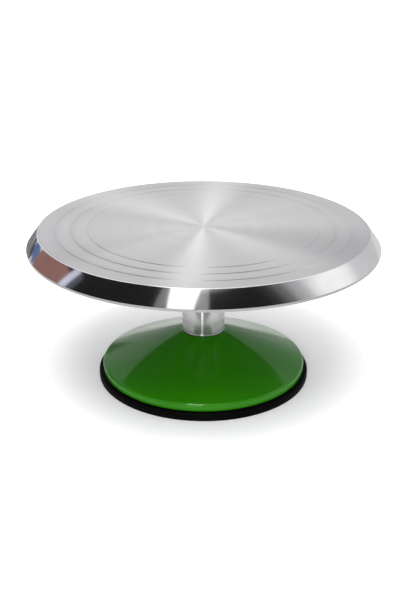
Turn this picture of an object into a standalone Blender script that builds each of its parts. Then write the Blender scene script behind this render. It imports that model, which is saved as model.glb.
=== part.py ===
"""Cake decorating turntable: a turned aluminium plate that spins on a column with two ball bearings,
held by a painted conical base on a rubber ring.

The table surface is z = 0, +Z is up, and the Z axis is the axis that the plate turns about.
Lengths are written in millimetres and turned into metres when a mesh is made.
"""

import math

import bmesh
import bpy
from mathutils import Matrix, Vector

MM = 0.001
GAP = 0.3                      # clearance kept between pieces that sit against each other

# Driving dimensions
HEIGHT = 139.0                 # table to the plate's top face
PLATE_RADIUS = 152.5           # a 305 mm (12 inch) plate
PLATE_FACE_RADIUS = 142.8      # where the flat top face would meet the bevel
PLATE_EDGE_HEIGHT = 15.0       # top face to the underside of the rim
PLATE_LIP_HEIGHT = 2.2         # upright band below the bevel
PLATE_THICKNESS = 5.2
PLATE_EDGE_ROUNDING = 2.0
GROOVE_RADII = (127.3, 113.6, 99.9)
GROOVE_WIDTH = 1.3
GROOVE_DEPTH = 0.65
PLATE_BOSS_RADIUS = 36.0
PLATE_BOSS_BOTTOM = 127.0

COLUMN_RADIUS = 19.25
COLUMN_FOOT = 42.0
COLUMN_TOP = 117.0
COLUMN_LOWER_BORE = 10.5
COLUMN_BEARING_BORE = 16.0

BASE_RADIUS = 91.3             # painted side band
BASE_SIDE_BOTTOM = 7.4
BASE_SHOULDER_RADIUS = 86.4    # where the cone runs into the rounded shoulder
BASE_SHOULDER_HEIGHT = 15.6
BASE_TOP_RADIUS = 20.4
BASE_BOSS_BOTTOM = 33.0
BASE_LIP_BOTTOM = 2.2

RING_RADIUS = 94.9             # rubber ring under the base
RING_HEIGHT = 7.1

SPINDLE_RADIUS = 6.0
SPINDLE_HEAD_RADIUS = 10.0
SPINDLE_HEAD_BOTTOM = 122.5
SPINDLE_HEAD_HEIGHT = 4.0

# 6201 deep-groove bearings: 12 x 32 x 10, seven balls
BEARING_WIDTH = 10.0
BEARING_PITCH_RADIUS = 11.0
BALL_COUNT = 7
BALL_RADIUS = 2.9
LOWER_BEARING_BOTTOM = 58.3
UPPER_BEARING_BOTTOM = 104.3

HUB_RADIUS = 32.0
HUB_BOTTOM = 118.5
HUB_SCREW_COUNT = 4
HUB_SCREW_CIRCLE = 25.0
COLUMN_SCREW_COUNT = 3
COLUMN_SCREW_CIRCLE = 15.3
SCREW_RADIUS = 2.5             # M5
SCREW_HEAD_RADIUS = 4.25
SCREW_HEAD_HEIGHT = 5.0


def clear_scene():
    for obj in list(bpy.data.objects):
        bpy.data.objects.remove(obj, do_unlink=True)


def material(name, colour, metallic, roughness):
    made = bpy.data.materials.new(name)
    made.use_nodes = True
    shader = made.node_tree.nodes["Principled BSDF"]
    shader.inputs["Base Color"].default_value = (*colour, 1.0)
    shader.inputs["Metallic"].default_value = metallic
    shader.inputs["Roughness"].default_value = roughness
    made.diffuse_color = (*colour, 1.0)
    return made


def axis_empty(name, height):
    """An empty on the turning axis, for the pieces that turn together."""
    empty = bpy.data.objects.new(name, None)
    empty.empty_display_size = 0.02
    empty.location = (0.0, 0.0, height * MM)
    bpy.context.scene.collection.objects.link(empty)
    return empty


def place(obj, parent):
    """Hang a piece on its empty without moving it."""
    if parent is None:
        return
    obj.parent = parent
    obj.matrix_parent_inverse = Matrix.Translation(-parent.location)


def object_from(name, bm, mat, location=(0.0, 0.0, 0.0), parent=None):
    bmesh.ops.recalc_face_normals(bm, faces=bm.faces)
    mesh = bpy.data.meshes.new(name)
    bm.to_mesh(mesh)
    bm.free()
    mesh.materials.append(mat)
    return object_with(name, mesh, location, parent)


def object_with(name, mesh, location=(0.0, 0.0, 0.0), parent=None):
    mesh.shade_smooth()
    mesh.set_sharp_from_angle(angle=math.radians(30.0))
    obj = bpy.data.objects.new(name, mesh)
    obj.location = Vector(location) * MM
    bpy.context.scene.collection.objects.link(obj)
    place(obj, parent)
    return obj


def turned_mesh(profile, segments, closed):
    """Spin a profile of (radius, height) points about Z, as on a lathe.

    A closed profile makes a ring. An open one starts and ends on the axis and makes a solid.
    """
    bm = bmesh.new()
    verts = [bm.verts.new((radius * MM, 0.0, height * MM)) for radius, height in profile]
    pairs = list(zip(verts, verts[1:]))
    if closed:
        pairs.append((verts[-1], verts[0]))
    edges = [bm.edges.new(pair) for pair in pairs]
    bmesh.ops.spin(bm, geom=verts + edges, axis=(0.0, 0.0, 1.0), cent=(0.0, 0.0, 0.0),
                   angle=math.tau, steps=segments, use_merge=True)
    bmesh.ops.remove_doubles(bm, verts=bm.verts, dist=0.001 * MM)
    return bm


def turned(name, profile, segments, mat, closed=True, parent=None):
    return object_from(name, turned_mesh(profile, segments, closed), mat, parent=parent)


def carve(target, cutter, operation="DIFFERENCE"):
    """Run an exact Boolean on the target and remove the cutter."""
    modifier = target.modifiers.new("carve", "BOOLEAN")
    modifier.solver = "EXACT"
    modifier.operation = operation
    modifier.object = cutter
    bpy.context.view_layer.update()
    depsgraph = bpy.context.evaluated_depsgraph_get()
    mesh = bpy.data.meshes.new_from_object(target.evaluated_get(depsgraph))
    target.modifiers.clear()
    target.data = mesh
    bpy.data.objects.remove(cutter, do_unlink=True)
    mesh.shade_smooth()
    mesh.set_sharp_from_angle(angle=math.radians(30.0))


def circle_points(count, radius, start=0.0):
    """Evenly spaced points on a circle about the axis."""
    angles = [start + math.tau * index / count for index in range(count)]
    return [(radius * math.cos(angle), radius * math.sin(angle)) for angle in angles]


def drills(points, radius, bottom, top, mat):
    """One cutter with an upright round bar at each point."""
    bm = bmesh.new()
    for x, y in points:
        centre = Vector((x, y, 0.5 * (bottom + top))) * MM
        bmesh.ops.create_cone(bm, cap_ends=True, segments=12, radius1=radius * MM,
                              radius2=radius * MM, depth=(top - bottom) * MM,
                              matrix=Matrix.Translation(centre))
    return object_from("cutter", bm, mat)


def arc(centre_r, centre_z, radius, start_deg, end_deg, steps):
    """Profile points along an arc, both ends included."""
    points = []
    for index in range(steps + 1):
        angle = math.radians(start_deg + (end_deg - start_deg) * index / steps)
        points.append((centre_r + radius * math.cos(angle), centre_z + radius * math.sin(angle)))
    return points


def fillet(before, corner, after, radius, steps):
    """Profile points that round off a corner between two straight runs."""
    corner_v = Vector(corner)
    to_before = (Vector(before) - corner_v).normalized()
    to_after = (Vector(after) - corner_v).normalized()
    half = 0.5 * to_before.angle(to_after)
    reach = radius / math.tan(half)
    centre = corner_v + (to_before + to_after).normalized() * (radius / math.sin(half))
    first = corner_v + to_before * reach - centre
    last = corner_v + to_after * reach - centre
    points = []
    for index in range(steps + 1):
        share = index / steps
        ray = first.lerp(last, share).normalized() * radius
        points.append(tuple(centre + ray))
    return points


def make_plate(mat, parent):
    lip_top = HEIGHT - PLATE_EDGE_HEIGHT + PLATE_LIP_HEIGHT
    rim_bottom = HEIGHT - PLATE_EDGE_HEIGHT
    underside = HEIGHT - PLATE_THICKNESS
    profile = [(0.0, HEIGHT)]
    for radius in sorted(GROOVE_RADII):
        profile.append((radius - 0.5 * GROOVE_WIDTH, HEIGHT))
        profile.append((radius, HEIGHT - GROOVE_DEPTH))
        profile.append((radius + 0.5 * GROOVE_WIDTH, HEIGHT))
    profile += fillet((0.0, HEIGHT), (PLATE_FACE_RADIUS, HEIGHT), (PLATE_RADIUS, lip_top),
                      PLATE_EDGE_ROUNDING, 3)
    profile.append((PLATE_RADIUS, lip_top))
    profile.append((PLATE_RADIUS, rim_bottom + 0.3))
    profile.append((PLATE_RADIUS - 0.3, rim_bottom))
    profile.append((PLATE_RADIUS - 4.2, rim_bottom))
    profile.append((PLATE_RADIUS - 11.5, underside))
    profile.append((PLATE_BOSS_RADIUS, underside))
    profile.append((PLATE_BOSS_RADIUS - 1.5, PLATE_BOSS_BOTTOM))
    profile.append((0.0, PLATE_BOSS_BOTTOM))
    plate = turned("turntable_plate", profile, 72, mat, closed=False, parent=parent)
    holes = circle_points(HUB_SCREW_COUNT, HUB_SCREW_CIRCLE, math.radians(45.0))
    carve(plate, drills(holes, SCREW_RADIUS + GAP, PLATE_BOSS_BOTTOM - 2.0, 135.5, mat))


def make_hub(mat, parent):
    top = PLATE_BOSS_BOTTOM - GAP
    neck_bottom = UPPER_BEARING_BOTTOM + BEARING_WIDTH + GAP
    seat = SPINDLE_HEAD_BOTTOM - GAP
    bore = SPINDLE_RADIUS + GAP
    profile = [
        (SPINDLE_HEAD_RADIUS + GAP, top),
        (HUB_RADIUS - 0.8, top),
        (HUB_RADIUS, top - 0.8),
        (HUB_RADIUS, HUB_BOTTOM + 0.8),
        (HUB_RADIUS - 0.8, HUB_BOTTOM),
        (9.0, HUB_BOTTOM),
        (8.6, neck_bottom),
        (bore, neck_bottom),
        (bore, seat),
        (SPINDLE_HEAD_RADIUS + GAP, seat),
    ]
    hub = turned("plate_hub", profile, 48, mat, parent=parent)
    holes = circle_points(HUB_SCREW_COUNT, HUB_SCREW_CIRCLE, math.radians(45.0))
    carve(hub, drills(holes, SCREW_RADIUS + GAP, HUB_BOTTOM - 1.0, top + 1.0, mat))
    recess_top = HUB_BOTTOM + SCREW_HEAD_HEIGHT + 0.5
    carve(hub, drills(holes, SCREW_HEAD_RADIUS + GAP, HUB_BOTTOM - 1.0, recess_top, mat))


def make_spindle(mat, parent):
    head_top = SPINDLE_HEAD_BOTTOM + SPINDLE_HEAD_HEIGHT
    foot = LOWER_BEARING_BOTTOM + 0.6
    profile = [
        (0.0, head_top),
        (SPINDLE_HEAD_RADIUS, head_top),
        (SPINDLE_HEAD_RADIUS, SPINDLE_HEAD_BOTTOM),
        (SPINDLE_RADIUS, SPINDLE_HEAD_BOTTOM),
        (SPINDLE_RADIUS, foot + 0.6),
        (SPINDLE_RADIUS - 0.6, foot),
        (3.3, foot),
        (3.3, foot + 20.0),
        (0.0, foot + 21.5),
    ]
    turned("spindle", profile, 24, mat, closed=False, parent=parent)


def sleeve(name, inner, outer, bottom, top, segments, mat, parent=None):
    profile = [(inner, top), (outer, top), (outer, bottom), (inner, bottom)]
    return turned(name, profile, segments, mat, parent=parent)


def make_bearing(prefix, bottom, race_mat, cage_mat, shield_mat, rotor, cage_axis):
    """One sealed deep-groove bearing: two races, a cage with its balls and two shields."""
    middle = bottom + 0.5 * BEARING_WIDTH
    top = bottom + BEARING_WIDTH
    track = BALL_RADIUS + GAP
    inner_land = 8.7
    outer_land = 13.3
    reach = math.degrees(math.acos((BEARING_PITCH_RADIUS - inner_land) / track))
    inner_track = arc(BEARING_PITCH_RADIUS, middle, track, 180.0 - reach, 180.0 + reach, 4)
    outer_track = arc(BEARING_PITCH_RADIUS, middle, track, -reach, reach, 4)
    bore = SPINDLE_RADIUS + GAP
    shell = COLUMN_BEARING_BORE - GAP
    inner = [(bore, top), (inner_land, top)] + inner_track + [(inner_land, bottom), (bore, bottom)]
    outer = [(shell, top), (shell, bottom), (outer_land, bottom)] + outer_track
    outer += [(outer_land, top)]
    turned(prefix + "_inner_race", inner, 24, race_mat, parent=rotor)
    turned(prefix + "_outer_race", outer, 24, race_mat)

    half = BALL_RADIUS + 0.8
    cage = sleeve(prefix + "_cage", 10.1, 11.9, middle - half, middle + half, 14, cage_mat,
                  cage_axis)
    seats = circle_points(BALL_COUNT, BEARING_PITCH_RADIUS)
    pockets = bmesh.new()
    for x, y in seats:
        centre = Vector((x, y, middle)) * MM
        bmesh.ops.create_uvsphere(pockets, u_segments=8, v_segments=4, radius=track * MM,
                                  matrix=Matrix.Translation(centre))
    carve(cage, object_from("cutter", pockets, cage_mat))

    ball = bmesh.new()
    bmesh.ops.create_uvsphere(ball, u_segments=8, v_segments=6, radius=BALL_RADIUS * MM)
    ball_mesh = bpy.data.meshes.new(prefix + "_ball")
    ball.to_mesh(ball_mesh)
    ball.free()
    ball_mesh.materials.append(race_mat)
    for index, (x, y) in enumerate(seats, start=1):
        object_with(f"{prefix}_ball_{index}", ball_mesh, (x, y, middle), cage_axis)

    for side, height in (("bottom", bottom + 0.2), ("top", top - 0.8)):
        sleeve(f"{prefix}_shield_{side}", inner_land + GAP, outer_land - GAP, height,
               height + 0.6, 24, shield_mat)


def make_circlip(mat):
    """Internal retaining ring: an open ring with an eye at each end, above the upper bearing."""
    bottom = UPPER_BEARING_BOTTOM + BEARING_WIDTH + 0.5
    top = bottom + 1.2
    opening = math.radians(40.0)
    bm = bmesh.new()
    corners = ((13.9, bottom), (16.6, bottom), (16.6, top), (13.9, top))
    verts = [bm.verts.new((radius * MM, 0.0, height * MM)) for radius, height in corners]
    face = bm.faces.new(verts)
    bmesh.ops.rotate(bm, verts=verts, cent=(0.0, 0.0, 0.0),
                     matrix=Matrix.Rotation(0.5 * opening, 3, "Z"))
    start = bmesh.ops.duplicate(bm, geom=[face])["geom"]
    bmesh.ops.spin(bm, geom=start, axis=(0.0, 0.0, 1.0), cent=(0.0, 0.0, 0.0),
                   angle=math.tau - opening, steps=32, use_merge=False)
    bmesh.ops.remove_doubles(bm, verts=bm.verts, dist=0.001 * MM)
    drop_inner_faces(bm)
    ring = object_from("bearing_circlip", bm, mat)
    half = 0.5 * opening + math.radians(1.5)
    ends = [(13.7 * math.cos(angle), 13.7 * math.sin(angle)) for angle in (half, -half)]
    eyes = drills(ends, 1.7, bottom, top, mat)
    carve(ring, eyes, "UNION")
    carve(ring, drills(ends, 0.8, bottom - 1.0, top + 1.0, mat))


def drop_inner_faces(bm):
    """Remove doubled faces, keeping one cap at each end of a part-turn spin."""
    seen = {}
    doubled = []
    for face in bm.faces:
        key = frozenset(vert.index for vert in face.verts)
        if key in seen:
            doubled.append(face)
        seen[key] = face
    bmesh.ops.delete(bm, geom=doubled, context="FACES_ONLY")


def make_cap_screw_mesh(length, mat):
    """Socket-head cap screw, shank up; the underside of its head is at height 0."""
    profile = [
        (0.0, length),
        (SCREW_RADIUS - 0.4, length),
        (SCREW_RADIUS, length - 0.4),
        (SCREW_RADIUS, 0.0),
        (SCREW_HEAD_RADIUS, 0.0),
        (SCREW_HEAD_RADIUS, 0.4 - SCREW_HEAD_HEIGHT),
        (SCREW_HEAD_RADIUS - 0.4, -SCREW_HEAD_HEIGHT),
        (0.0, -SCREW_HEAD_HEIGHT),
    ]
    blank = turned("cutter_screw", profile, 12, mat, closed=False)
    socket = hexagon(2.31, -SCREW_HEAD_HEIGHT - 1.0, -SCREW_HEAD_HEIGHT + 2.5, mat)
    carve(blank, socket)
    mesh = blank.data
    bpy.data.objects.remove(blank, do_unlink=True)
    return mesh


def hexagon(radius, bottom, top, mat):
    bm = bmesh.new()
    centre = Vector((0.0, 0.0, 0.5 * (bottom + top))) * MM
    bmesh.ops.create_cone(bm, cap_ends=True, segments=6, radius1=radius * MM,
                          radius2=radius * MM, depth=(top - bottom) * MM,
                          matrix=Matrix.Translation(centre))
    return object_from("cutter", bm, mat)


def make_spindle_fixings(mat, parent):
    """Washer under the lower inner race and the hex bolt that holds the spindle down."""
    washer_top = LOWER_BEARING_BOTTOM - GAP
    washer_bottom = washer_top - 2.0
    sleeve("spindle_washer", 3.3, 8.4, washer_bottom, washer_top, 24, mat, parent)
    head_top = washer_bottom - GAP
    shank = turned("spindle_bolt", [(0.0, 76.0), (3.0, 75.0), (3.0, head_top - 1.0),
                                    (0.0, head_top - 1.0)], 16, mat, closed=False, parent=parent)
    carve(shank, hexagon(5.77, head_top - 4.0, head_top, mat), "UNION")


def make_column(mat):
    seat = LOWER_BEARING_BOTTOM - GAP
    clip_bottom = UPPER_BEARING_BOTTOM + BEARING_WIDTH + 0.3
    clip_top = clip_bottom + 1.6
    bore = COLUMN_BEARING_BORE
    profile = [
        (bore + 0.8, COLUMN_TOP),
        (COLUMN_RADIUS - 0.8, COLUMN_TOP),
        (COLUMN_RADIUS, COLUMN_TOP - 0.8),
        (COLUMN_RADIUS, COLUMN_FOOT + 2.2),
        (COLUMN_RADIUS - 0.35, COLUMN_FOOT + 1.9),
        (COLUMN_RADIUS, COLUMN_FOOT + 1.6),
        (COLUMN_RADIUS, COLUMN_FOOT + 0.7),
        (COLUMN_RADIUS - 0.7, COLUMN_FOOT),
        (COLUMN_LOWER_BORE, COLUMN_FOOT),
        (COLUMN_LOWER_BORE, seat),
        (bore, seat),
        (bore, clip_bottom),
        (bore + 1.0, clip_bottom),
        (bore + 1.0, clip_top),
        (bore, clip_top),
        (bore, COLUMN_TOP - 0.6),
    ]
    column = turned("column", profile, 48, mat)
    holes = circle_points(COLUMN_SCREW_COUNT, COLUMN_SCREW_CIRCLE, math.radians(90.0))
    carve(column, drills(holes, SCREW_RADIUS + GAP, COLUMN_FOOT - 1.0, 54.5, mat))


def make_base(mat):
    top = COLUMN_FOOT - GAP
    side = (BASE_RADIUS, BASE_SIDE_BOTTOM)
    shoulder_corner = (BASE_RADIUS, shoulder_corner_height(top))
    outer = [(COLUMN_LOWER_BORE - 0.7, top), (BASE_TOP_RADIUS, top)]
    outer += fillet((BASE_TOP_RADIUS, top), shoulder_corner, side, 4.6, 5)
    outer.append(side)
    lip_outer = RING_RADIUS - 4.9
    lip_inner = lip_outer - 2.8
    inner = [
        (lip_outer, BASE_SIDE_BOTTOM),
        (lip_outer, BASE_LIP_BOTTOM),
        (lip_inner, BASE_LIP_BOTTOM),
        (lip_inner, 7.2),
        (84.2, 12.2),
        (24.5, 35.2),
        (23.5, BASE_BOSS_BOTTOM),
        (COLUMN_LOWER_BORE - 0.7, BASE_BOSS_BOTTOM),
    ]
    base = turned("base_shell", outer + inner, 60, mat)
    holes = circle_points(COLUMN_SCREW_COUNT, COLUMN_SCREW_CIRCLE, math.radians(90.0))
    carve(base, drills(holes, SCREW_RADIUS + GAP, BASE_BOSS_BOTTOM - 1.0, top + 1.0, mat))


def shoulder_corner_height(top):
    """Height at which the cone's straight side would reach the side band."""
    slope = (top - BASE_SHOULDER_HEIGHT) / (BASE_SHOULDER_RADIUS - BASE_TOP_RADIUS)
    return top - slope * (BASE_RADIUS - BASE_TOP_RADIUS)


def make_rubber_ring(mat):
    """A channel that grips the base's lip, with a flat sole on the table."""
    lip_outer = RING_RADIUS - 4.9
    lip_inner = lip_outer - 2.8
    profile = [(lip_outer + GAP, RING_HEIGHT)]
    profile += fillet((lip_outer, RING_HEIGHT), (RING_RADIUS, RING_HEIGHT), (RING_RADIUS, 0.0),
                      1.8, 3)
    profile += [
        (RING_RADIUS, 0.6),
        (RING_RADIUS - 0.6, 0.0),
        (lip_inner - 1.8, 0.0),
        (lip_inner - 2.1, 0.4),
        (lip_inner - 2.1, 6.4),
        (lip_inner - GAP, 6.4),
        (lip_inner - GAP, BASE_LIP_BOTTOM - GAP),
        (lip_outer + GAP, BASE_LIP_BOTTOM - GAP),
    ]
    turned("rubber_foot_ring", profile, 60, mat)


def main():
    clear_scene()
    turned_aluminium = material("turned_aluminium", (0.78, 0.78, 0.79), 1.0, 0.28)
    polished_aluminium = material("polished_aluminium", (0.80, 0.80, 0.80), 1.0, 0.12)
    cast_aluminium = material("cast_aluminium", (0.60, 0.61, 0.62), 1.0, 0.42)
    green_paint = material("green_paint", (0.016, 0.105, 0.002), 0.0, 0.12)
    black_rubber = material("black_rubber", (0.012, 0.012, 0.012), 0.0, 0.45)
    bearing_steel = material("bearing_steel", (0.62, 0.63, 0.65), 1.0, 0.14)
    cage_steel = material("cage_steel", (0.48, 0.47, 0.44), 1.0, 0.32)
    shield_rubber = material("shield_rubber", (0.02, 0.02, 0.022), 0.0, 0.55)
    spindle_steel = material("spindle_steel", (0.56, 0.57, 0.58), 1.0, 0.22)
    spring_steel = material("spring_steel", (0.10, 0.10, 0.11), 0.9, 0.38)
    zinc_steel = material("zinc_steel", (0.66, 0.67, 0.68), 1.0, 0.30)
    black_steel = material("black_steel", (0.035, 0.035, 0.038), 0.8, 0.40)

    rotor = axis_empty("plate_axis", HEIGHT)
    upper_axis = axis_empty("upper_cage_axis", UPPER_BEARING_BOTTOM + 0.5 * BEARING_WIDTH)
    lower_axis = axis_empty("lower_cage_axis", LOWER_BEARING_BOTTOM + 0.5 * BEARING_WIDTH)

    make_plate(turned_aluminium, rotor)
    make_hub(cast_aluminium, rotor)
    make_spindle(spindle_steel, rotor)
    make_bearing("upper_bearing", UPPER_BEARING_BOTTOM, bearing_steel, cage_steel,
                 shield_rubber, rotor, upper_axis)
    make_bearing("lower_bearing", LOWER_BEARING_BOTTOM, bearing_steel, cage_steel,
                 shield_rubber, rotor, lower_axis)
    spacer_bottom = LOWER_BEARING_BOTTOM + BEARING_WIDTH + GAP
    spacer_top = UPPER_BEARING_BOTTOM - GAP
    sleeve("inner_spacer", SPINDLE_RADIUS + GAP, 8.4, spacer_bottom, spacer_top, 24,
           zinc_steel, rotor)
    sleeve("outer_spacer", 13.5, COLUMN_BEARING_BORE - GAP, spacer_bottom, spacer_top, 24,
           zinc_steel)
    make_circlip(spring_steel)
    make_spindle_fixings(zinc_steel, rotor)

    make_column(polished_aluminium)
    make_base(green_paint)
    make_rubber_ring(black_rubber)

    hub_screw = make_cap_screw_mesh(10.5, black_steel)
    hub_seat = HUB_BOTTOM + SCREW_HEAD_HEIGHT + 0.2
    hub_holes = circle_points(HUB_SCREW_COUNT, HUB_SCREW_CIRCLE, math.radians(45.0))
    for index, (x, y) in enumerate(hub_holes, start=1):
        object_with(f"hub_screw_{index}", hub_screw, (x, y, hub_seat), rotor)

    column_screw = make_cap_screw_mesh(20.0, black_steel)
    washer_top = BASE_BOSS_BOTTOM - GAP
    washer_bottom = washer_top - 1.0
    washer = turned_mesh([(2.8, 0.0), (5.0, 0.0), (5.0, -1.0), (2.8, -1.0)], 16, True)
    bmesh.ops.recalc_face_normals(washer, faces=washer.faces)
    washer_mesh = bpy.data.meshes.new("column_washer")
    washer.to_mesh(washer_mesh)
    washer.free()
    washer_mesh.materials.append(zinc_steel)
    column_holes = circle_points(COLUMN_SCREW_COUNT, COLUMN_SCREW_CIRCLE, math.radians(90.0))
    for index, (x, y) in enumerate(column_holes, start=1):
        object_with(f"column_washer_{index}", washer_mesh, (x, y, washer_top))
        object_with(f"column_screw_{index}", column_screw, (x, y, washer_bottom - GAP))


main()
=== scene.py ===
"""Looks for the cake turntable: finely turned pieces, their materials, and a plain pale studio.

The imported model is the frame. Heights and outer radii come from its boxes, and the other profile
sizes are written in millimetres below. The Z axis is the axis that the plate turns about.
"""

import math

import bmesh
import bpy
from mathutils import Matrix, Vector


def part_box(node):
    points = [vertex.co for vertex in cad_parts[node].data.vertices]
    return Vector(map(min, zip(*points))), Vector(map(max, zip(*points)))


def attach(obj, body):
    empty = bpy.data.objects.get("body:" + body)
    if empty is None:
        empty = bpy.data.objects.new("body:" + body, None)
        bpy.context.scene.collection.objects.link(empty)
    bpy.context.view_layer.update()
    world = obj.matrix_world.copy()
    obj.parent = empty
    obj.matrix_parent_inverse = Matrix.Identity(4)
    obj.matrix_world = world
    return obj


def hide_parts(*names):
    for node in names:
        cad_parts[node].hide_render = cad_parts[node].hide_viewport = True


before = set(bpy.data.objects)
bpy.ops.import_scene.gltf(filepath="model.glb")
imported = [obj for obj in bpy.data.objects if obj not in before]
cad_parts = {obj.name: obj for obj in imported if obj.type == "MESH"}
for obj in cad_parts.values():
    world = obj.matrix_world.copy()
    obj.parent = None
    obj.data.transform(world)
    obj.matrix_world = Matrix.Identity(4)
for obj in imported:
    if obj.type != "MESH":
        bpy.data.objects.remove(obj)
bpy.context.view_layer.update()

MM = 0.001
GAP = 0.3                      # clearance between pieces that sit against each other

# Plate
PLATE_FACE_RADIUS = 142.8      # where the flat top face would meet the bevel
PLATE_FACED_RADIUS = 141.6     # where the faced finish ends and the bright one starts
PLATE_EDGE_HEIGHT = 15.0       # top face to the underside of the rim
PLATE_LIP_HEIGHT = 2.2         # upright band below the bevel
PLATE_THICKNESS = 5.2
PLATE_EDGE_ROUNDING = 1.0
PLATE_RIM_WIDTH = 4.2          # flat underside of the rim
PLATE_RIM_ROOT = 11.5          # whole width of the rim, where it meets the plate's underside
GROOVE_RADII = (127.3, 113.6, 99.9)
GROOVE_DEPTH = 0.46
GROOVE_STEEP_RUN = 0.38        # from the inner edge down to the bottom
GROOVE_SHALLOW_RUN = 1.15      # from the bottom up to the outer edge
GROOVE_MARGIN = 0.4            # flat face kept with each groove
GROOVE_ROUNDING = 0.05
GROOVE_OUTER_ROUNDING = 0.3
PLATE_BOSS_RADIUS = 36.0
PLATE_BOSS_END_RADIUS = 34.5
PLATE_SCREW_COVER = 3.5        # metal between a screw's hole and the top face
PLATE_FACE_RINGS = (8.0, 20.0, 40.0, 60.0, 80.0)   # radii that split the flat face evenly
PLATE_OUTER_RING = 131.3
PLATE_UNDERSIDE_RING = 76.0
PLATE_BOSS_RING = 28.0

# Hub and its screws
HUB_BOTTOM = 118.5
HUB_NECK_RADIUS = 9.0
HUB_NECK_END_RADIUS = 8.6
HUB_BORE = 6.3
HUB_HEAD_BORE = 10.3           # room for the spindle's head
HUB_SEAT = 122.2               # the spindle's head rests here
HUB_SCREW_COUNT = 4
HUB_SCREW_CIRCLE = 25.0
HUB_SCREW_START = 45.0         # azimuth of the first screw, in degrees
SCREW_HOLE_RADIUS = 2.8
SCREW_RECESS_RADIUS = 4.55
SCREW_RECESS_TOP = 124.0

# Column
COLUMN_LOWER_BORE = 10.5
COLUMN_BEARING_BORE = 16.0
COLUMN_LINE_HEIGHT = 1.9       # turned line, above the column's foot
COLUMN_LINE_DEPTH = 0.35
COLUMN_LINE_REACH = 0.3        # half of the line's width
CIRCLIP_GROOVE_WIDTH = 1.6
CIRCLIP_GROOVE_DEPTH = 1.0
CIRCLIP_PLAY = 0.2
COLUMN_SCREW_COUNT = 3
COLUMN_SCREW_CIRCLE = 15.3
COLUMN_SCREW_START = 90.0
COLUMN_SCREW_DEPTH = 12.5

# Base
BASE_SHOULDER_RADIUS = 86.4
BASE_SHOULDER_HEIGHT = 15.6
BASE_SHOULDER_ROUNDING = 3.0
BASE_SIDE_BOTTOM = 7.4
BASE_TOP_RADIUS = 20.4
BASE_BOSS_RADIUS = 23.5
BASE_BOSS_BOTTOM = 33.0
BASE_BORE = 9.8
BASE_CONE_RINGS = (45.0, 70.0)     # radii that split the cone evenly
BASE_HOLLOW_FOOT = (84.2, 12.2)    # radius and height where the hollow's slope starts
BASE_HOLLOW_TOP = (24.5, 35.2)     # and where it ends
LIP_OUTER = 90.0               # lip under the shell, which the rubber ring grips
LIP_INNER = 87.2
LIP_ROOT = 7.2

# Rubber ring
RING_INNER = 85.1
RING_INNER_HEIGHT = 6.4

# Meshes
LARGE_SEGMENTS = 256
COLUMN_SEGMENTS = 160
HUB_SEGMENTS = 128
HOLE_SEGMENTS = 32
ROUNDING_STEPS = 3.0           # steps in a rounding, for each millimetre of its radius
SHARP_ANGLE = math.radians(28.0)
DRILL_SPARE = 1.0              # how far a drill starts outside the metal

# Studio, in metres and degrees
TARGET = Vector((-0.00268, 0.0, 0.06903))
CAMERA_DISTANCE = 0.850
CAMERA_ELEVATION = 22.94
CAMERA_ROLL = 0.11
CAMERA_LENS = 56.95            # millimetres, like the sensor
CAMERA_SENSOR = 36.0
BACKDROP_WHITE = (0.985, 0.985, 1.0)
LIGHT_DISTANCE = 1.5
RADIANCE_TO_POWER = 4.0        # watts per square metre of softbox, for a radiance of 1
FLOOR_RADIUS = 6.0
FLOOR_SEGMENTS = 96
FLOOR_LEVEL = -0.0002          # just under the rubber ring, so that no two faces share a plane
FLOOR_GLOW_IN_PAINTED_SHADOW = 0.24         # glow of the floor under the plate, kept low to paint the turntable's shadow
FLOOR_GLOW_FAR = 0.72          # and away from it
FLOOR_GLOW_MIRRORED = 0.26     # glow that reflections see
FLOOR_PAINTED_SHADOW_START = 100.0       # radii, in millimetres, between which the glow grows and the painted shadow fades out
FLOOR_PAINTED_SHADOW_END = 420.0


def low_high(node):
    """Lowest and highest corner of a CAD node, in millimetres."""
    low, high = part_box(node)
    return low / MM, high / MM


# Turned pieces -----------------------------------------------------------------------------------

def fillet(before, corner, after, radius, steps):
    """Profile points that round off a corner between two straight runs."""
    corner_v = Vector(corner)
    to_before = (Vector(before) - corner_v).normalized()
    to_after = (Vector(after) - corner_v).normalized()
    half = 0.5 * to_before.angle(to_after)
    reach = radius / math.tan(half)
    centre = corner_v + (to_before + to_after).normalized() * (radius / math.sin(half))
    first = (corner_v + to_before * reach - centre).normalized()
    last = (corner_v + to_after * reach - centre).normalized()
    shares = [index / steps for index in range(steps + 1)]
    return [tuple(centre + first.slerp(last, share) * radius) for share in shares]


def rounded(corners, closed):
    """A profile from corners written as (radius, height) or (radius, height, rounding)."""
    points = []
    count = len(corners)
    for index, corner in enumerate(corners):
        if len(corner) == 2:
            points.append(corner)
            continue
        before = corners[index - 1][:2]
        after = corners[(index + 1) % count][:2]
        steps = max(3, round(corner[2] * ROUNDING_STEPS))
        points += fillet(before, corner[:2], after, corner[2], steps)
    if closed:
        points.append(points[0])
    return points


def turned(name, profile, segments):
    """Spin a profile about Z, as on a lathe, and smooth everything but its sharp edges."""
    bm = bmesh.new()
    verts = [bm.verts.new((radius * MM, 0.0, height * MM)) for radius, height in profile]
    edges = [bm.edges.new(pair) for pair in zip(verts, verts[1:])]
    bmesh.ops.spin(bm, geom=verts + edges, axis=(0.0, 0.0, 1.0), cent=(0.0, 0.0, 0.0),
                   angle=math.tau, steps=segments, use_merge=True)
    bmesh.ops.remove_doubles(bm, verts=bm.verts, dist=0.001 * MM)
    bmesh.ops.recalc_face_normals(bm, faces=bm.faces)
    mesh = bpy.data.meshes.new(name)
    bm.to_mesh(mesh)
    bm.free()
    smooth(mesh)
    obj = bpy.data.objects.new(name, mesh)
    bpy.context.scene.collection.objects.link(obj)
    return obj


def smooth(mesh):
    """Shade a mesh smooth, but keep its sharp edges."""
    mesh.shade_smooth()
    mesh.set_sharp_from_angle(angle=SHARP_ANGLE)


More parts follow.
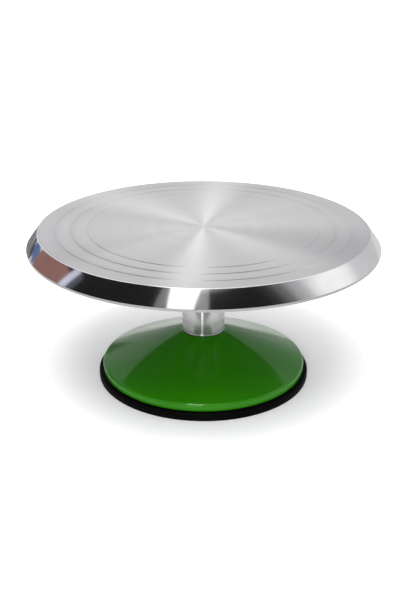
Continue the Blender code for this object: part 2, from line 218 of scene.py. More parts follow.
def circle_points(count, radius, start_deg):
    """Evenly spaced points on a circle about the axis."""
    angles = [math.radians(start_deg) + math.tau * index / count for index in range(count)]
    return [(radius * math.cos(angle), radius * math.sin(angle)) for angle in angles]


def drill(target, points, radius, bottom, top):
    """Cut an upright round hole at each point."""
    bm = bmesh.new()
    for x, y in points:
        centre = Vector((x, y, 0.5 * (bottom + top))) * MM
        bmesh.ops.create_cone(bm, cap_ends=True, segments=HOLE_SEGMENTS, radius1=radius * MM,
                              radius2=radius * MM, depth=(top - bottom) * MM,
                              matrix=Matrix.Translation(centre))
    mesh = bpy.data.meshes.new("drill")
    bm.to_mesh(mesh)
    bm.free()
    cutter = bpy.data.objects.new("drill", mesh)
    bpy.context.scene.collection.objects.link(cutter)
    modifier = target.modifiers.new("drill", "BOOLEAN")
    modifier.solver = "EXACT"
    modifier.object = cutter
    bpy.context.view_layer.update()
    depsgraph = bpy.context.evaluated_depsgraph_get()
    cut = bpy.data.meshes.new_from_object(target.evaluated_get(depsgraph))
    target.modifiers.clear()
    target.data = cut
    bpy.data.objects.remove(cutter, do_unlink=True)
    smooth(cut)


def groove(radius, top):
    """A groove running outwards: a steep inner wall, a narrow bottom and a shallow outer wall."""
    inner = radius - GROOVE_STEEP_RUN
    outer = radius + GROOVE_SHALLOW_RUN
    bottom = top - GROOVE_DEPTH
    corners = [
        (inner - GROOVE_MARGIN, top),
        (inner, top, GROOVE_ROUNDING),
        (radius, bottom, GROOVE_ROUNDING),
        (outer, top, GROOVE_OUTER_ROUNDING),
        (outer + GROOVE_MARGIN, top),
    ]
    return rounded(corners, closed=False)


def make_plate():
    """The plate: grooved face, bevel, lip, hollow underside and a boss for the hub."""
    high = low_high("turntable_plate")[1]
    radius = high.x
    top = high.z
    rim_bottom = top - PLATE_EDGE_HEIGHT
    lip_top = rim_bottom + PLATE_LIP_HEIGHT
    underside = top - PLATE_THICKNESS
    boss_bottom = low_high("plate_hub")[1].z + GAP
    profile = [(0.0, top)]
    profile += [(reach, top) for reach in PLATE_FACE_RINGS]
    for groove_radius in sorted(GROOVE_RADII):
        profile += groove(groove_radius, top)
    corners = [
        (PLATE_OUTER_RING, top),
        (PLATE_FACE_RADIUS, top, PLATE_EDGE_ROUNDING),
        (radius, lip_top, 0.35),
        (radius, rim_bottom, 0.4),
        (radius - PLATE_RIM_WIDTH, rim_bottom, 0.5),
        (radius - PLATE_RIM_ROOT, underside, 3.0),
        (PLATE_UNDERSIDE_RING, underside),
        (PLATE_BOSS_RADIUS, underside, 2.0),
        (PLATE_BOSS_END_RADIUS, boss_bottom, 0.6),
        (PLATE_BOSS_RING, boss_bottom),
        (0.0, boss_bottom),
    ]
    profile += rounded(corners, closed=False)
    plate = turned("cake_plate", profile, LARGE_SEGMENTS)
    holes = circle_points(HUB_SCREW_COUNT, HUB_SCREW_CIRCLE, HUB_SCREW_START)
    drill(plate, holes, SCREW_HOLE_RADIUS, boss_bottom - DRILL_SPARE, top - PLATE_SCREW_COVER)
    return plate


def make_hub():
    """The flange under the plate, with a neck that the upper bearing's inner race meets."""
    low, high = low_high("plate_hub")
    radius = high.x
    corners = [
        (HUB_HEAD_BORE, high.z),
        (radius, high.z, 0.8),
        (radius, HUB_BOTTOM, 1.2),
        (HUB_NECK_RADIUS, HUB_BOTTOM, 0.8),
        (HUB_NECK_END_RADIUS, low.z),
        (HUB_BORE, low.z),
        (HUB_BORE, HUB_SEAT),
        (HUB_HEAD_BORE, HUB_SEAT),
    ]
    hub = turned("cast_hub", rounded(corners, closed=True), HUB_SEGMENTS)
    holes = circle_points(HUB_SCREW_COUNT, HUB_SCREW_CIRCLE, HUB_SCREW_START)
    start = HUB_BOTTOM - DRILL_SPARE
    drill(hub, holes, SCREW_HOLE_RADIUS, start, high.z + DRILL_SPARE)
    drill(hub, holes, SCREW_RECESS_RADIUS, start, SCREW_RECESS_TOP)
    return hub


def make_column():
    """The column: one bore for both bearings, a circlip groove, and a turned line above its foot."""
    low, high = low_high("column")
    radius = high.x
    foot = low.z
    top = high.z
    seat = low_high("lower_bearing_outer_race")[0].z - GAP
    clip_bottom = low_high("bearing_circlip")[0].z - CIRCLIP_PLAY
    clip_top = clip_bottom + CIRCLIP_GROOVE_WIDTH
    bore = COLUMN_BEARING_BORE
    line = foot + COLUMN_LINE_HEIGHT
    corners = [
        (bore, top, 0.6),
        (radius, top, 0.8),
        (radius, line + COLUMN_LINE_REACH, 0.15),
        (radius - COLUMN_LINE_DEPTH, line),
        (radius, line - COLUMN_LINE_REACH, 0.15),
        (radius, foot, 0.6),
        (COLUMN_LOWER_BORE, foot, 0.3),
        (COLUMN_LOWER_BORE, seat, 0.3),
        (bore, seat),
        (bore, clip_bottom),
        (bore + CIRCLIP_GROOVE_DEPTH, clip_bottom),
        (bore + CIRCLIP_GROOVE_DEPTH, clip_top),
        (bore, clip_top),
    ]
    column = turned("polished_column", rounded(corners, closed=True), COLUMN_SEGMENTS)
    holes = circle_points(COLUMN_SCREW_COUNT, COLUMN_SCREW_CIRCLE, COLUMN_SCREW_START)
    drill(column, holes, SCREW_HOLE_RADIUS, foot - DRILL_SPARE, foot + COLUMN_SCREW_DEPTH)
    return column


def make_base():
    """The hollow cone, with its rounded shoulder, side band and the lip that holds the ring."""
    low, high = low_high("base_shell")
    radius = high.x
    top = high.z
    slope = (top - BASE_SHOULDER_HEIGHT) / (BASE_SHOULDER_RADIUS - BASE_TOP_RADIUS)
    shoulder = top - slope * (radius - BASE_TOP_RADIUS)
    corners = [
        (BASE_BORE, top, 0.2),
        (BASE_TOP_RADIUS, top, 0.5),
        *((reach, top - slope * (reach - BASE_TOP_RADIUS)) for reach in BASE_CONE_RINGS),
        (radius, shoulder, BASE_SHOULDER_ROUNDING),
        (radius, BASE_SIDE_BOTTOM, 0.4),
        (LIP_OUTER, BASE_SIDE_BOTTOM),
        (LIP_OUTER, low.z, 0.5),
        (LIP_INNER, low.z, 0.5),
        (LIP_INNER, LIP_ROOT, 1.0),
        (*BASE_HOLLOW_FOOT, 4.0),
        (*BASE_HOLLOW_TOP, 2.0),
        (BASE_BOSS_RADIUS, BASE_BOSS_BOTTOM, 0.6),
        (BASE_BORE, BASE_BOSS_BOTTOM, 0.2),
    ]
    base = turned("enamelled_base", rounded(corners, closed=True), LARGE_SEGMENTS)
    holes = circle_points(COLUMN_SCREW_COUNT, COLUMN_SCREW_CIRCLE, COLUMN_SCREW_START)
    drill(base, holes, SCREW_HOLE_RADIUS, BASE_BOSS_BOTTOM - DRILL_SPARE, top + DRILL_SPARE)
    return base


def make_rubber_ring():
    """The ring under the base, with a channel for the base's lip."""
    high = low_high("rubber_foot_ring")[1]
    radius = high.x
    top = high.z
    lip_bottom = low_high("base_shell")[0].z
    corners = [
        (LIP_OUTER + GAP, top, 0.15),
        (radius, top, 1.8),
        (radius, 0.0, 0.7),
        (RING_INNER, 0.0, 0.6),
        (RING_INNER, RING_INNER_HEIGHT, 0.7),
        (LIP_INNER - GAP, RING_INNER_HEIGHT, 0.15),
        (LIP_INNER - GAP, lip_bottom - GAP),
        (LIP_OUTER + GAP, lip_bottom - GAP),
    ]
    return turned("rubber_foot", rounded(corners, closed=True), LARGE_SEGMENTS)


# Materials ---------------------------------------------------------------------------------------

class Shader:
    """A material's node tree, with short calls for the nodes that the finishes share."""

    def __init__(self, name, colour, metallic, roughness):
        self.material = bpy.data.materials.new(name)
        self.material.use_nodes = True
        self.tree = self.material.node_tree
        self.bsdf = self.tree.nodes["Principled BSDF"]
        self.bsdf.inputs["Base Color"].default_value = (*colour, 1.0)
        self.bsdf.inputs["Metallic"].default_value = metallic
        self.bsdf.inputs["Roughness"].default_value = roughness
        self.place = self.node("ShaderNodeTexCoord").outputs["Object"]

    def node(self, kind, **settings):
        """Add a node of one kind, with its settings."""
        made = self.tree.nodes.new(kind)
        for key, value in settings.items():
            setattr(made, key, value)
        return made

    def feed(self, socket, value):
        """Link a node's output to a socket, or set the socket to a number or a colour."""
        if isinstance(value, bpy.types.NodeSocket):
            self.tree.links.new(value, socket)
        else:
            socket.default_value = value

    def math(self, operation, first, second=0.0):
        """Combine two numbers or sockets."""
        made = self.node("ShaderNodeMath", operation=operation)
        self.feed(made.inputs[0], first)
        self.feed(made.inputs[1], second)
        return made.outputs[0]

    def radius(self):
        """Distance from the turning axis, in millimetres."""
        split = self.node("ShaderNodeSeparateXYZ")
        self.feed(split.inputs[0], self.place)
        across = self.math("POWER", split.outputs["X"], 2.0)
        along = self.math("POWER", split.outputs["Y"], 2.0)
        reach = self.math("SQRT", self.math("ADD", across, along))
        return self.math("DIVIDE", reach, MM)

    def height(self):
        """Height above the table, in millimetres."""
        split = self.node("ShaderNodeSeparateXYZ")
        self.feed(split.inputs[0], self.place)
        return self.math("DIVIDE", split.outputs["Z"], MM)

    def lines(self, along, per_mm, detail):
        """Turning lines: noise that changes along one measure only."""
        made = self.node("ShaderNodeTexNoise", noise_dimensions="1D")
        self.feed(made.inputs["W"], along)
        made.inputs["Scale"].default_value = per_mm
        made.inputs["Detail"].default_value = detail
        return made.outputs["Fac"]

    def noise(self, size_mm, detail=3.0, rough=0.55):
        """Noise in space, with features of about the given size."""
        made = self.node("ShaderNodeTexNoise")
        self.feed(made.inputs["Vector"], self.place)
        made.inputs["Scale"].default_value = 1.0 / (size_mm * MM)
        made.inputs["Detail"].default_value = detail
        made.inputs["Roughness"].default_value = rough
        return made.outputs["Fac"]

    def spread(self, value, low, high, from_low=0.3, from_high=0.7):
        """Map the middle of a noise's range to a range of numbers."""
        made = self.node("ShaderNodeMapRange")
        self.feed(made.inputs["Value"], value)
        made.inputs["From Min"].default_value = from_low
        made.inputs["From Max"].default_value = from_high
        self.feed(made.inputs["To Min"], low)
        self.feed(made.inputs["To Max"], high)
        return made.outputs["Result"]

    def colours(self, value, stops):
        """A colour ramp from (position, colour) stops."""
        made = self.node("ShaderNodeValToRGB")
        ramp = made.color_ramp
        while len(ramp.elements) < len(stops):
            ramp.elements.new(0.5)
        for element, (position, colour) in zip(ramp.elements, stops):
            element.position = position
            element.color = (*colour, 1.0)
        self.feed(made.inputs["Fac"], value)
        return made.outputs["Color"]

    def bump(self, height, distance_mm, strength):
        """Raise the surface's shading by up to a distance."""
        made = self.node("ShaderNodeBump")
        made.inputs["Distance"].default_value = distance_mm * MM
        made.inputs["Strength"].default_value = strength
        self.feed(made.inputs["Height"], height)
        return made.outputs["Normal"]

    def finish(self, colour, roughness, normal):
        """Feed the finish into the shader and hand over the material."""
        self.feed(self.bsdf.inputs["Base Color"], colour)
        self.feed(self.bsdf.inputs["Roughness"], roughness)
        self.feed(self.bsdf.inputs["Normal"], normal)
        return self.material

    def brushed_round(self, amount):
        """Stretch highlights across the turning lines, which run round the axis."""
        tangent = self.node("ShaderNodeTangent", direction_type="RADIAL", axis="Z")
        self.feed(self.bsdf.inputs["Tangent"], tangent.outputs["Tangent"])
        self.bsdf.inputs["Anisotropic"].default_value = amount
        self.bsdf.inputs["Anisotropic Rotation"].default_value = 0.25


def turned_face():
    """Faced aluminium with very fine rings, as a lathe tool leaves it."""
    shader = Shader("turned_face", (0.86, 0.86, 0.87), 1.0, 0.36)
    shader.brushed_round(1.0)
    reach = shader.radius()
    fine = shader.lines(reach, 1.4, 4.0)
    broad = shader.lines(reach, 0.12, 1.0)
    # The face's colour darkens from near the middle out to the rim.
    rim_darkening = shader.spread(reach, 0.0, 1.0, 20.0, PLATE_FACE_RADIUS)
    marks = shader.spread(shader.noise(22.0, 2.0), -0.05, 0.05)
    tint = ((0.0, (0.90, 0.90, 0.905)), (1.0, (0.73, 0.73, 0.74)))
    colour = shader.colours(shader.math("ADD", rim_darkening, marks), tint)
    tone = shader.spread(fine, 0.33, 0.41)
    roughness = shader.math("ADD", tone, shader.spread(broad, -0.02, 0.02))
    return shader.finish(colour, roughness, shader.bump(fine, 0.004, 0.4))


def bright_bevel():
    """The polished bevel round the plate."""
    shader = Shader("bright_bevel", (0.90, 0.90, 0.905), 1.0, 0.10)
    shader.brushed_round(0.6)
    rings = shader.lines(shader.height(), 2.2, 3.0)
    marks = shader.noise(14.0, 2.0)
    colour = shader.colours(marks, ((0.3, (0.87, 0.87, 0.88)), (0.7, (0.92, 0.92, 0.92))))
    return shader.finish(colour, shader.spread(rings, 0.07, 0.14), shader.bump(rings, 0.003, 0.3))


def painted_shade_lip():
    """The plate's upright lip, turned but not polished; its colour is painted darker than the plate's
    aluminium, as shade.
    """
    shader = Shader("painted_shade_lip", (0.34, 0.335, 0.33), 1.0, 0.30)
    shader.brushed_round(0.5)
    rings = shader.lines(shader.height(), 2.0, 3.0)
    # These dark colours are painted shade on the lip; the rings are turning marks.
    colour = shader.colours(rings, ((0.3, (0.29, 0.285, 0.28)), (0.7, (0.38, 0.375, 0.37))))
    return shader.finish(colour, shader.spread(rings, 0.25, 0.36), shader.bump(rings, 0.004, 0.4))


def painted_shade_underside():
    """Coarser turned aluminium under the plate, with its colour painted dark as the shade under the
    plate.
    """
    shader = Shader("painted_shade_underside", (0.12, 0.12, 0.12), 1.0, 0.36)
    shader.brushed_round(0.5)
    rings = shader.lines(shader.radius(), 0.9, 3.0)
    # Near-black colours: painted shade under the plate.
    colour = shader.colours(shader.noise(30.0), ((0.3, (0.10, 0.10, 0.105)), (0.7, (0.14, 0.14, 0.14))))
    return shader.finish(colour, shader.spread(rings, 0.34, 0.50), shader.bump(rings, 0.02, 0.5))


def painted_shade_column_metal():
    """The column, turned and buffed, with its colour painted darker than bright aluminium, as shade."""
    # The base colour is held well below bright aluminium's: painted shade on the column.
    shader = Shader("buffed_column", (0.50, 0.50, 0.50), 1.0, 0.14)
    shader.brushed_round(0.7)
    rings = shader.lines(shader.height(), 1.6, 4.0)
    colour = shader.colours(shader.noise(9.0), ((0.3, (0.48, 0.48, 0.475)), (0.7, (0.52, 0.52, 0.515))))
    return shader.finish(colour, shader.spread(rings, 0.12, 0.16), shader.bump(rings, 0.002, 0.2))


def cast_aluminium():
    """The hub, cast and lightly blasted."""
    shader = Shader("cast_hub_metal", (0.60, 0.61, 0.62), 1.0, 0.45)
    grain = shader.noise(1.2, 5.0, 0.6)
    colour = shader.colours(grain, ((0.3, (0.50, 0.51, 0.52)), (0.7, (0.66, 0.67, 0.68))))
    return shader.finish(colour, shader.spread(grain, 0.36, 0.56), shader.bump(grain, 0.08, 0.6))


def green_enamel():
    """Glossy green stove enamel with a slight orange peel."""
    shader = Shader("green_enamel", (0.027, 0.225, 0.002), 0.0, 0.12)
    shader.bsdf.inputs["Specular IOR Level"].default_value = 0.45
    shader.bsdf.inputs["IOR"].default_value = 1.37
    peel = shader.noise(2.2, 2.0, 0.5)
    cloud = shader.noise(26.0, 2.0)
    colour = shader.colours(cloud, ((0.3, (0.025, 0.215, 0.0018)), (0.7, (0.029, 0.235, 0.0022))))
    return shader.finish(colour, shader.spread(cloud, 0.09, 0.15), shader.bump(peel, 0.006, 0.35))


def black_rubber():
    """Matt black rubber, straight from its mould."""
    shader = Shader("moulded_rubber", (0.0025, 0.0025, 0.0025), 0.0, 0.5)
    shader.bsdf.inputs["Specular IOR Level"].default_value = 0.02
    grain = shader.noise(0.6, 4.0, 0.6)
    dust = shader.noise(12.0, 3.0)
    colour = shader.colours(dust, ((0.3, (0.0020, 0.0020, 0.0020)), (0.75, (0.0035, 0.0035, 0.0035))))
    return shader.finish(colour, shader.spread(grain, 0.44, 0.58), shader.bump(grain, 0.03, 0.5))


def ground_steel():
    """Bearing races and balls, ground and lapped."""
    shader = Shader("ground_steel", (0.62, 0.63, 0.65), 1.0, 0.15)
    grain = shader.lines(shader.height(), 3.0, 3.0)
    colour = shader.colours(shader.noise(5.0), ((0.3, (0.56, 0.57, 0.59)), (0.7, (0.66, 0.67, 0.69))))
    return shader.finish(colour, shader.spread(grain, 0.10, 0.20), shader.bump(grain, 0.003, 0.4))


def pressed_steel():
    """The bearings' cages."""
    shader = Shader("pressed_cage", (0.48, 0.47, 0.44), 1.0, 0.32)
    grain = shader.noise(1.5, 4.0)
    colour = shader.colours(grain, ((0.3, (0.40, 0.39, 0.36)), (0.7, (0.54, 0.53, 0.50))))
    return shader.finish(colour, shader.spread(grain, 0.25, 0.42), shader.bump(grain, 0.01, 0.4))


def seal_rubber():
    """The bearings' shields."""
    shader = Shader("seal_rubber", (0.02, 0.02, 0.022), 0.0, 0.55)
    grain = shader.noise(0.8, 4.0)
    colour = shader.colours(grain, ((0.3, (0.014, 0.014, 0.016)), (0.7, (0.028, 0.028, 0.030))))
    return shader.finish(colour, shader.spread(grain, 0.48, 0.62), shader.bump(grain, 0.01, 0.4))


def turned_steel():
    """The spindle."""
    shader = Shader("turned_spindle", (0.56, 0.57, 0.58), 1.0, 0.22)
    rings = shader.lines(shader.height(), 1.8, 3.0)
    colour = shader.colours(shader.noise(8.0), ((0.3, (0.50, 0.51, 0.52)), (0.7, (0.60, 0.61, 0.62))))
    return shader.finish(colour, shader.spread(rings, 0.17, 0.29), shader.bump(rings, 0.005, 0.4))


def blued_spring():
    """The circlip."""
    shader = Shader("blued_spring", (0.10, 0.10, 0.11), 0.9, 0.38)
    grain = shader.noise(1.8, 4.0)
    colour = shader.colours(grain, ((0.3, (0.07, 0.07, 0.085)), (0.7, (0.13, 0.13, 0.14))))
    return shader.finish(colour, shader.spread(grain, 0.30, 0.48), shader.bump(grain, 0.008, 0.4))


def zinc_plate():
    """Spacers, washers and the spindle's bolt, with a zinc coat."""
    shader = Shader("zinc_plate", (0.66, 0.67, 0.68), 1.0, 0.30)
    grain = shader.noise(2.6, 4.0)
    colour = shader.colours(grain, ((0.3, (0.58, 0.59, 0.61)), (0.7, (0.71, 0.72, 0.72))))
    return shader.finish(colour, shader.spread(grain, 0.24, 0.38), shader.bump(grain, 0.006, 0.4))


def black_oxide():
    """Dark cap screws."""
    shader = Shader("black_oxide", (0.035, 0.035, 0.038), 0.8, 0.40)
    grain = shader.noise(1.4, 4.0)
    colour = shader.colours(grain, ((0.3, (0.026, 0.026, 0.030)), (0.7, (0.050, 0.050, 0.053))))
    return shader.finish(colour, shader.spread(grain, 0.32, 0.50), shader.bump(grain, 0.008, 0.4))


def paper_floor():
    """White paper that glows softly, less so close to the turntable, which paints the turntable's soft
    shadow on it.
    """
    shader = Shader("pale_floor", (0.92, 0.92, 0.93), 0.0, 0.75)
    grain = shader.noise(3.0, 3.0)
    colour = shader.colours(grain, ((0.3, (0.915, 0.915, 0.925)), (0.7, (0.925, 0.925, 0.935))))
    shader.bsdf.inputs["Emission Color"].default_value = (*BACKDROP_WHITE, 1.0)
    # The glow is lowest under the plate and grows outwards: a painted soft shadow round the turntable.
    away = shader.spread(shader.radius(), FLOOR_GLOW_IN_PAINTED_SHADOW, FLOOR_GLOW_FAR,
                         FLOOR_PAINTED_SHADOW_START, FLOOR_PAINTED_SHADOW_END)
    seen = shader.node("ShaderNodeLightPath").outputs["Is Camera Ray"]
    glow = shader.spread(seen, FLOOR_GLOW_MIRRORED, away, 0.0, 1.0)
    shader.feed(shader.bsdf.inputs["Emission Strength"], glow)
    return shader.finish(colour, 0.75, shader.bump(grain, 0.02, 0.1))


# Studio ------------------------------------------------------------------------------------------

def direction(azimuth_deg, elevation_deg):
    """Unit vector towards an azimuth, counted from +X towards +Y, and an elevation."""
    azimuth = math.radians(azimuth_deg)
    elevation = math.radians(elevation_deg)
    flat = math.cos(elevation)
    return Vector((flat * math.cos(azimuth), flat * math.sin(azimuth), math.sin(elevation)))


def softbox(name, azimuth, elevation, width, height, radiance, mirrored=True):
    """A flat white studio light that faces the turntable, with or without its mirror image."""
    data = bpy.data.lights.new(name, "AREA")
    data.shape = "RECTANGLE"
    data.size = width
    data.size_y = height
    data.energy = RADIANCE_TO_POWER * width * height * radiance
    light = bpy.data.objects.new(name, data)
    ray = direction(azimuth, elevation)
    light.location = TARGET + ray * LIGHT_DISTANCE
    light.rotation_euler = ray.to_track_quat("Z", "Y").to_euler()
    light.visible_camera = False
    light.visible_glossy = mirrored
    bpy.context.scene.collection.objects.link(light)


class Room:
    """The world around the table, seen as light and in reflections."""

    def __init__(self):
        """Start with an empty world. Colour holds the last layer laid so far."""
        self.world = bpy.data.worlds.new("studio")
        self.world.use_nodes = True
        self.tree = self.world.node_tree
        self.tree.nodes.clear()
        self.ray = self.tree.nodes.new("ShaderNodeTexCoord").outputs["Generated"]
        self.colour = None

    def towards(self, axis):
        """Cosine of the angle between the ray and an axis."""
        made = self.tree.nodes.new("ShaderNodeVectorMath")
        made.operation = "DOT_PRODUCT"
        made.inputs[1].default_value = axis
        self.tree.links.new(self.ray, made.inputs[0])
        return made.outputs["Value"]

    def walls(self, azimuth, stops):
        """Levels of grey from the far side (-1) to the side at this azimuth (1)."""
        share = self.tree.nodes.new("ShaderNodeMapRange")
        share.inputs["From Min"].default_value = -1.0
        self.tree.links.new(self.towards(direction(azimuth, 0.0)), share.inputs["Value"])
        made = self.tree.nodes.new("ShaderNodeValToRGB")
        made.color_ramp.interpolation = "EASE"
        elements = made.color_ramp.elements
        while len(elements) < len(stops):
            elements.new(0.5)
        for element, (position, level) in zip(elements, stops):
            element.position = 0.5 + 0.5 * position
            element.color = (level, level, level * 1.02, 1.0)
        self.tree.links.new(share.outputs["Result"], made.inputs["Fac"])
        self.colour = made.outputs["Color"]

    def cover(self, mask, level):
        """Lay one level of grey over what is there, where the mask is 1."""
        mix = self.tree.nodes.new("ShaderNodeMix")
        mix.data_type = "RGBA"
        self.tree.links.new(mask, mix.inputs["Factor"])
        self.tree.links.new(self.colour, mix.inputs["A"])
        mix.inputs["B"].default_value = (level, level, level, 1.0)
        self.colour = mix.outputs["Result"]

    def glow(self, azimuth, elevation, inner, outer, level):
        """A round patch of one level that fades out between two angles from its middle."""
        mask = self.tree.nodes.new("ShaderNodeMapRange")
        mask.interpolation_type = "SMOOTHSTEP"
        mask.inputs["From Min"].default_value = math.cos(math.radians(outer))
        mask.inputs["From Max"].default_value = math.cos(math.radians(inner))
        self.tree.links.new(self.towards(direction(azimuth, elevation)), mask.inputs["Value"])
        self.cover(mask.outputs["Result"], level)

    def finish(self, backdrop_colour):
        """Show a plain backdrop behind the object and keep the room for light and reflections."""
        room = self.tree.nodes.new("ShaderNodeBackground")
        self.tree.links.new(self.colour, room.inputs["Color"])
        backdrop = self.tree.nodes.new("ShaderNodeBackground")
        backdrop.inputs["Color"].default_value = (*backdrop_colour, 1.0)
        ray = self.tree.nodes.new("ShaderNodeLightPath")
        mix = self.tree.nodes.new("ShaderNodeMixShader")
        self.tree.links.new(ray.outputs["Is Camera Ray"], mix.inputs["Fac"])
        self.tree.links.new(room.outputs["Background"], mix.inputs[1])
        self.tree.links.new(backdrop.outputs["Background"], mix.inputs[2])
        out = self.tree.nodes.new("ShaderNodeOutputWorld")
        self.tree.links.new(mix.outputs["Shader"], out.inputs["Surface"])
        bpy.context.scene.world = self.world


def board(name, azimuth, distance, width, bottom, top, colour):
    """An upright board that stands in the room out of the camera's sight and colours reflections."""
    bm = bmesh.new()
    half = 0.5 * width
    corners = ((-half, bottom), (half, bottom), (half, top), (-half, top))
    bm.faces.new([bm.verts.new((across, 0.0, height)) for across, height in corners])
    mesh = bpy.data.meshes.new(name)
    bm.to_mesh(mesh)
    bm.free()
    paper = bpy.data.materials.new(name)
    paper.use_nodes = True
    shader = paper.node_tree.nodes["Principled BSDF"]
    shader.inputs["Base Color"].default_value = (0.0, 0.0, 0.0, 1.0)
    shader.inputs["Emission Color"].default_value = (*colour, 1.0)
    shader.inputs["Emission Strength"].default_value = 1.0
    shader.inputs["Specular IOR Level"].default_value = 0.0
    mesh.materials.append(paper)
    made = bpy.data.objects.new(name, mesh)
    made.location = direction(azimuth, 0.0) * distance
    made.rotation_euler.z = math.radians(azimuth - 90.0)
    made.visible_camera = False
    made.visible_shadow = False
    made.visible_diffuse = False
    bpy.context.scene.collection.objects.link(made)


def make_floor():
    """A round sheet of paper that the turntable stands on."""
    bm = bmesh.new()
    bmesh.ops.create_circle(bm, cap_ends=True, segments=FLOOR_SEGMENTS, radius=FLOOR_RADIUS)
    mesh = bpy.data.meshes.new("studio_floor")
    bm.to_mesh(mesh)
    bm.free()
    mesh.materials.append(paper_floor())
    floor = bpy.data.objects.new("studio_floor", mesh)
    floor.location.z = FLOOR_LEVEL
    bpy.context.scene.collection.objects.link(floor)


def make_camera():
    """A camera in front of the turntable, looking a little down on it."""
    data = bpy.data.cameras.new("camera")
    data.lens = CAMERA_LENS
    data.sensor_width = CAMERA_SENSOR
    camera = bpy.data.objects.new("camera", data)
    camera.location = TARGET + direction(-90.0, CAMERA_ELEVATION) * CAMERA_DISTANCE
    tilt = Matrix.Rotation(math.radians(90.0 - CAMERA_ELEVATION), 4, "X")
    roll = Matrix.Rotation(math.radians(CAMERA_ROLL), 4, "Z")
    camera.rotation_euler = (tilt @ roll).to_euler()
    bpy.context.scene.collection.objects.link(camera)
    bpy.context.scene.camera = camera


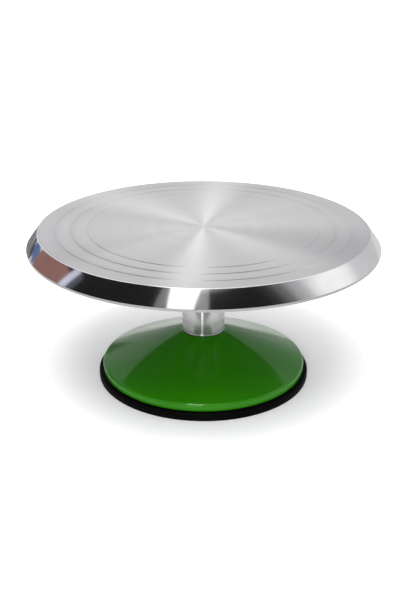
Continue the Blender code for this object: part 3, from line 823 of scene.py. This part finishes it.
def light_studio():
    """Room, softboxes and boards. Angles are in degrees and sizes in metres."""
    room = Room()

    # Walls: almost black to the front left, pale grey to the back right.
    room.walls(61.5, (
        (-0.20, 0.012), (-0.10, 0.03), (0.006, 0.13), (0.142, 0.39),
        (0.304, 0.68), (0.47, 0.78), (0.70, 0.62), (1.0, 0.56),
    ))

    # Bright patches to the right, behind, overhead, and dim ones low in front.
    room.glow(8.0, 28.0, 2.0, 20.0, 0.97)
    room.glow(90.0, 4.0, 6.0, 16.0, 0.50)
    room.glow(93.0, 25.0, 2.0, 14.0, 1.05)
    room.glow(95.0, 50.0, 6.0, 24.0, 1.0)
    room.glow(140.0, 55.0, 8.0, 28.0, 1.0)
    room.glow(40.0, 55.0, 8.0, 28.0, 1.05)
    room.glow(-97.0, 81.0, 12.0, 24.0, 1.05)
    room.glow(-90.0, 14.0, 10.0, 26.0, 0.22)
    room.glow(-48.0, 8.0, 12.0, 26.0, 0.3)
    room.glow(-132.0, 8.0, 12.0, 26.0, 0.3)
    room.finish(BACKDROP_WHITE)

    # Softboxes that the metal mirrors, then those that only light paint, rubber and paper.
    softbox("key_softbox", -105.2, 50.0, 0.36, 0.9, 0.97)
    softbox("tail_softbox", -119.0, 50.0, 0.14, 0.8, 0.14)
    softbox("edge_softbox", -90.5, 50.0, 0.15, 0.8, 0.22)
    softbox("crown_softbox", -121.0, 74.0, 0.62, 0.5, 0.9)
    softbox("low_softbox", -98.5, 17.0, 0.36, 0.34, 14.0, mirrored=False)
    softbox("fill_softbox", -95.0, 68.0, 1.1, 1.1, 3.1, mirrored=False)
    softbox("front_softbox", -95.0, 47.0, 0.9, 0.35, 1.5, mirrored=False)

    # Boards beside and behind the turntable, mirrored in the bevel and the base.
    board("near_board", 129.0, 0.5, 0.25, 0.0, 0.118, (0.21, 0.21, 0.215))
    board("side_board", 45.0, 0.5, 0.44, 0.0, 0.125, (0.68, 0.68, 0.68))
    board("slate_board", 128.0, 2.4, 0.50, 0.06, 0.22, (0.05, 0.06, 0.08))
    board("blue_board", 134.5, 2.4, 0.42, 0.21, 0.52, (0.10, 0.15, 0.30))
    board("left_board", 158.0, 2.6, 1.70, 0.0, 0.32, (0.20, 0.20, 0.20))
    board("brown_board", 154.3, 2.5, 1.38, 0.32, 1.50, (0.265, 0.137, 0.122))
    board("mauve_board", 172.2, 2.45, 0.23, 0.60, 1.80, (0.64, 0.63, 0.76))
    board("dusk_board", 177.3, 2.5, 0.24, 0.60, 1.80, (0.07, 0.075, 0.105))

    # Cards close in front, mirrored in the column and on the base's shoulder.
    board("low_card", -92.0, 0.125, 0.26, 0.0, 0.022, (0.40, 0.41, 0.40))
    board("front_card", -92.0, 0.125, 0.26, 0.022, 0.09, (0.80, 0.81, 0.80))
    board("streak_card", -96.0, 0.120, 0.017, 0.0, 0.043, (1.9, 1.9, 1.9))
    board("glint_card", -96.0, 0.122, 0.027, 0.047, 0.059, (45.0, 45.0, 45.0))


# Assembly ----------------------------------------------------------------------------------------

def paint_faces(plate):
    """Give the plate its four finishes, told apart by radius, height and slope; the lip's and the
    underside's colours carry painted shade.
    """
    mesh = plate.data
    mesh.materials.clear()
    for made in (turned_face(), bright_bevel(), painted_shade_underside(), painted_shade_lip()):
        mesh.materials.append(made)
    faced, bevel, underside, lip = range(4)
    facing_up = 0.3
    facing_down = -0.9
    below_grooves = (low_high("turntable_plate")[1].z - 1.0) * MM
    for face in mesh.polygons:
        reach = Vector(face.center[:2]).length / MM
        slope = face.normal.z
        if slope > 0.0 and face.center.z > below_grooves and reach < PLATE_FACED_RADIUS:
            face.material_index = faced
        elif reach > PLATE_FACED_RADIUS and slope > facing_up:
            face.material_index = bevel
        elif reach > PLATE_FACE_RADIUS and slope > facing_down:
            face.material_index = lip
        else:
            face.material_index = underside


def add(piece, body, node, finish=None):
    """Put a finished piece on its body, in place of its CAD node."""
    if finish is not None:
        piece.data.materials.clear()
        piece.data.materials.append(finish)
    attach(piece, body)
    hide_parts(node)


def dress_cad_nodes():
    """Give every CAD node that isn't replaced its own finish, by its material slot."""
    finishes = {
        "bearing_steel": ground_steel(),
        "cage_steel": pressed_steel(),
        "shield_rubber": seal_rubber(),
        "spindle_steel": turned_steel(),
        "spring_steel": blued_spring(),
        "zinc_steel": zinc_plate(),
        "black_steel": black_oxide(),
    }
    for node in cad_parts.values():
        for slot in node.material_slots:
            if slot.material and slot.material.name in finishes:
                slot.material = finishes[slot.material.name]


make_camera()
bpy.context.scene.view_settings.view_transform = "Standard"
make_floor()
light_studio()

plate = make_plate()
add(plate, "plate", "turntable_plate")
paint_faces(plate)
add(make_hub(), "plate", "plate_hub", cast_aluminium())
add(make_column(), "base", "column", painted_shade_column_metal())
add(make_base(), "base", "base_shell", green_enamel())
add(make_rubber_ring(), "base", "rubber_foot_ring", black_rubber())
dress_cad_nodes()
